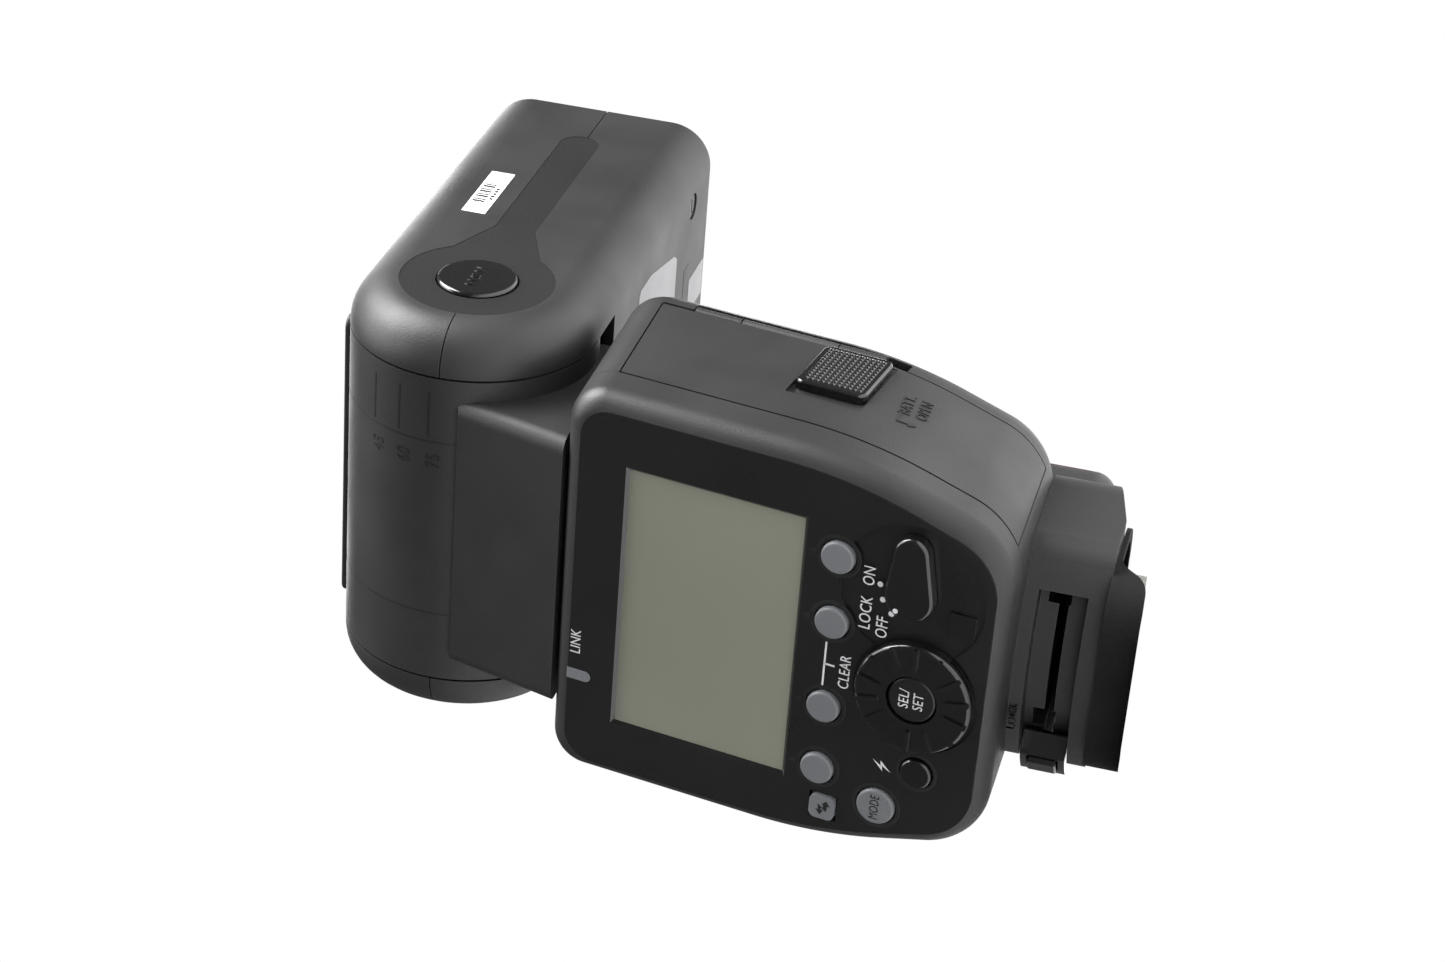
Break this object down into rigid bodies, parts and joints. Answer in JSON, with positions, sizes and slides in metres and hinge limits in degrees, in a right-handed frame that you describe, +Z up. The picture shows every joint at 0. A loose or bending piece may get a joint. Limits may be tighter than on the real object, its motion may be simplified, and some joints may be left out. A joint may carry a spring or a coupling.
{
  "type": "speedlight flash",
  "caption": "Shoe-mount speedlight flash with a tilting, swivelling zoom head, a rear control panel with keys and dial, a side battery door and a locking shoe foot.",
  "frame": {"origin": "centre of the shoe foot's underside", "axes": "+Z up from the foot to the head, +Y towards the lens, +X towards the battery door"},
  "size_m": [0.0774, 0.1212, 0.1454],
  "materials": {
    "case_black": "fine moulded grain, near black",
    "panel_black": "satin to gloss black",
    "lever_black": "gloss black",
    "key_grey": "blue-grey keys",
    "lcd_glass": "clear window over a grey-green display",
    "lens_clear": "clear moulded acrylic",
    "lens_red": "dark red window",
    "rubber_black": "soft black rubber",
    "shoe_metal": "bright metal plate",
    "contact_gold": "gilt contacts",
    "steel": "plain steel",
    "screw_black": "blackened steel",
    "board_green": "circuit board",
    "cell_wrap": null,
    "cap_sleeve": "capacitor sleeve",
    "mirror_tin": "bright reflector",
    "tube_glass": "flash tube glass",
    "card_white": "white card",
    "chassis_grey": "inner mouldings"
  },
  "bodies": {
    "body": {"body_rear_shell": "case_black", "body_front_shell": "case_black", "case_screws": "screw_black", "control_panel": "panel_black", "lcd_window": "lcd_glass", "indicator_lenses": "lens_clear", "lcd_module": "chassis_grey", "button_board": "board_green", "switch_domes": "rubber_black", "battery_tray": "chassis_grey", "battery_cells": "cell_wrap", "battery_contacts": "steel", "main_board": "board_green", "flash_capacitor": "cap_sleeve", "lower_housing": "case_black", "assist_window": "lens_red", "assist_lamps": "lens_clear", "foot_block": "chassis_grey", "shoe_plate": "shoe_metal", "shoe_contacts": "contact_gold", "contact_carrier": "chassis_grey", "rubber_skirt": "rubber_black"},
    "neck": {"neck_housing": "case_black", "swivel_ring": "chassis_grey", "tilt_trunnions": "chassis_grey"},
    "head": {"head_upper_cover": "case_black", "head_lower_cover": "case_black", "head_screws": "screw_black", "grip_pad": "rubber_black", "top_plate": "case_black", "front_bezel": "case_black", "fresnel_lens": "lens_clear", "zoom_chassis": "chassis_grey", "guide_rods": "steel", "zoom_motor": "steel"},
    "tilt_release": {"tilt_button": "lever_black"},
    "zoom_drive": {"zoom_screw": "steel"},
    "zoom_slide": {"zoom_carriage": "chassis_grey", "reflector": "mirror_tin", "flash_tube": "tube_glass"},
    "diffuser": {"wide_panel": "lens_clear"},
    "catchlight": {"catchlight_panel": "card_white"},
    "door_runner": {"door_hinge_pin": "chassis_grey"},
    "door": {"battery_door": "case_black"},
    "door_latch": {"battery_latch": "lever_black"},
    "power_switch": {"power_lever": "lever_black"},
    "dial": {"select_dial": "lever_black"},
    "set_key": {"set_button": "panel_black"},
    "function_key_1": {"function_button_1": "key_grey"},
    "function_key_2": {"function_button_2": "key_grey"},
    "function_key_3": {"function_button_3": "key_grey"},
    "function_key_4": {"function_button_4": "key_grey"},
    "mode_key": {"mode_button": "key_grey"},
    "test_key": {"test_button": "lever_black"},
    "link_key": {"link_button": "lever_black"},
    "foot_lock": {"lock_lever": "lever_black"},
    "foot_lock_key": {"lock_release": "lever_black"},
    "foot_lock_pin": {"lock_pin": "steel"}
  },
  "joints": [
    {"name": "head_swivel", "type": "hinge", "parent": "body", "child": "neck", "pos_m": [0, 0.0154, 0.096], "axis": [0, 0, 1], "range_deg": [-180, 180]},
    {"name": "head_tilt", "type": "hinge", "parent": "neck", "child": "head", "pos_m": [0, 0.0154, 0.1211], "axis": [1, 0, 0], "range_deg": [-7, 90]},
    {"name": "tilt_release_press", "type": "slide", "parent": "head", "child": "tilt_release", "axis": [-1, 0, 0], "range_m": [0, 0.0012], "stiffness_N_per_m": 400},
    {"name": "zoom_travel", "type": "slide", "parent": "head", "child": "zoom_slide", "axis": [0, 1, 0], "range_m": [0, 0.024]},
    {"name": "zoom_screw_spin", "type": "hinge", "parent": "head", "child": "zoom_drive", "pos_m": [0, 0.041, 0.1048], "axis": [0, 1, 0], "continuous": true},
    {"name": "diffuser_slide", "type": "slide", "parent": "head", "child": "diffuser", "axis": [0, 1, 0], "range_m": [0, 0.03]},
    {"name": "catchlight_slide", "type": "slide", "parent": "head", "child": "catchlight", "axis": [0, 1, 0], "range_m": [0, 0.028]},
    {"name": "door_slide", "type": "slide", "parent": "body", "child": "door_runner", "axis": [0, -0.1573, -0.9876], "range_m": [0, 0.004]},
    {"name": "door_swing", "type": "hinge", "parent": "door_runner", "child": "door", "pos_m": [0.03575, 0.01736, 0.05402], "axis": [0, 0.1573, 0.9876], "range_deg": [0, 95]},
    {"name": "latch_slide", "type": "slide", "parent": "door", "child": "door_latch", "axis": [0, -0.9876, 0.1573], "range_m": [0, 0.0025], "stiffness_N_per_m": 300},
    {"name": "power_turn", "type": "hinge", "parent": "body", "child": "power_switch", "pos_m": [0.0165, -0.02347, 0.0345], "axis": [0, -0.9876, 0.1573], "range_deg": [-73, 0]},
    {"name": "dial_turn", "type": "hinge", "parent": "body", "child": "dial", "pos_m": [-0.00206, -0.02385, 0.03208], "axis": [0, -0.9876, 0.1573], "continuous": true},
    {"name": "set_press", "type": "slide", "parent": "body", "child": "set_key", "axis": [0, 0.9876, -0.1573], "range_m": [0, 0.0007], "stiffness_N_per_m": 400},
    {"name": "function_press_1", "type": "slide", "parent": "body", "child": "function_key_1", "axis": [0, 0.9876, -0.1573], "range_m": [0, 0.0007], "stiffness_N_per_m": 400},
    {"name": "function_press_2", "type": "slide", "parent": "body", "child": "function_key_2", "axis": [0, 0.9876, -0.1573], "range_m": [0, 0.0007], "stiffness_N_per_m": 400},
    {"name": "function_press_3", "type": "slide", "parent": "body", "child": "function_key_3", "axis": [0, 0.9876, -0.1573], "range_m": [0, 0.0007], "stiffness_N_per_m": 400},
    {"name": "function_press_4", "type": "slide", "parent": "body", "child": "function_key_4", "axis": [0, 0.9876, -0.1573], "range_m": [0, 0.0007], "stiffness_N_per_m": 400},
    {"name": "mode_press", "type": "slide", "parent": "body", "child": "mode_key", "axis": [0, 0.9876, -0.1573], "range_m": [0, 0.0006], "stiffness_N_per_m": 400},
    {"name": "test_press", "type": "slide", "parent": "body", "child": "test_key", "axis": [0, 0.9876, -0.1573], "range_m": [0, 0.0006], "stiffness_N_per_m": 400},
    {"name": "link_press", "type": "slide", "parent": "body", "child": "link_key", "axis": [0, 0.9876, -0.1573], "range_m": [0, 0.0005], "stiffness_N_per_m": 400},
    {"name": "lock_turn", "type": "hinge", "parent": "body", "child": "foot_lock", "pos_m": [0, 0.02, 0.0115], "axis": [0, 0, 1], "range_deg": [0, 54]},
    {"name": "lock_release_press", "type": "slide", "parent": "foot_lock", "child": "foot_lock_key", "axis": [0.6428, 0.766, 0], "range_m": [0, 0.0006], "stiffness_N_per_m": 400},
    {"name": "lock_pin_drop", "type": "slide", "parent": "body", "child": "foot_lock_pin", "axis": [0, 0, -1], "range_m": [0, 0.0022]}
  ],
  "couplings": [
    {"joint": "lock_pin_drop", "follows": "lock_turn", "m_per_rad": 0.0023319}
  ]
}
